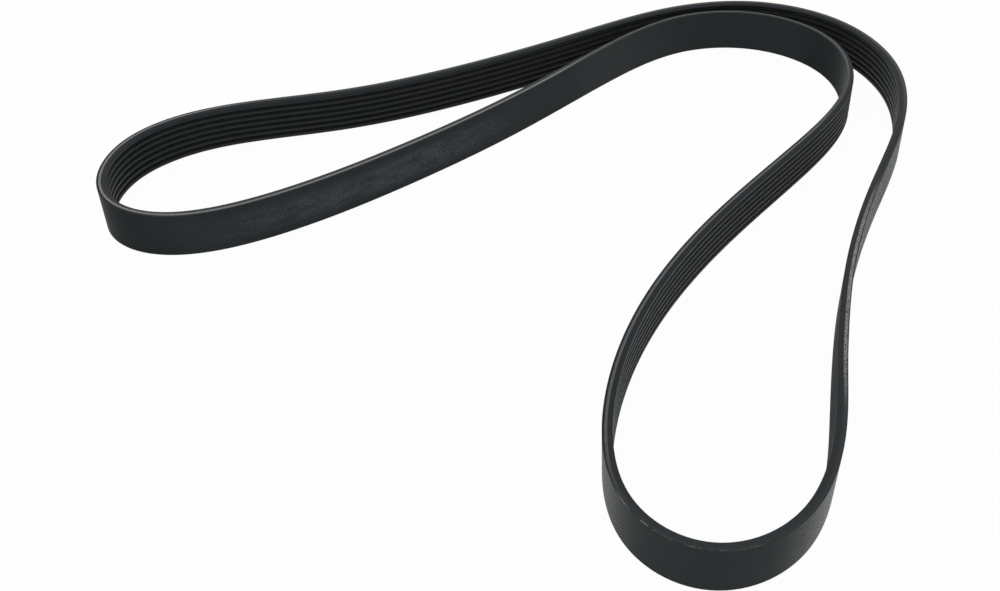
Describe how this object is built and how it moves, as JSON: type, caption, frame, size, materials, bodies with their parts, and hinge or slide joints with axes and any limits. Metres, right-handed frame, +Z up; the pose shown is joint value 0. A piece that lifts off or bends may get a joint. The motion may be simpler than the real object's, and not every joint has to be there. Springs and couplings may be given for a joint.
{
  "type": "serpentine belt",
  "caption": "Closed ribbed rubber drive belt for a car engine's auxiliaries, standing on its cut edge in a loose bent loop, ribs inside.",
  "frame": {"origin": "middle of the laid belt, on the plane of the cut edge that it stands on", "axes": "+Z up across the belt's width, +X along the laid belt's longest side"},
  "size_m": [0.4332, 0.4168, 0.0249],
  "materials": {
    "belt_rubber": "matte black rubber with a finely woven back"
  },
  "bodies": {
    "root": {"belt": "belt_rubber"}
  },
  "joints": []
}
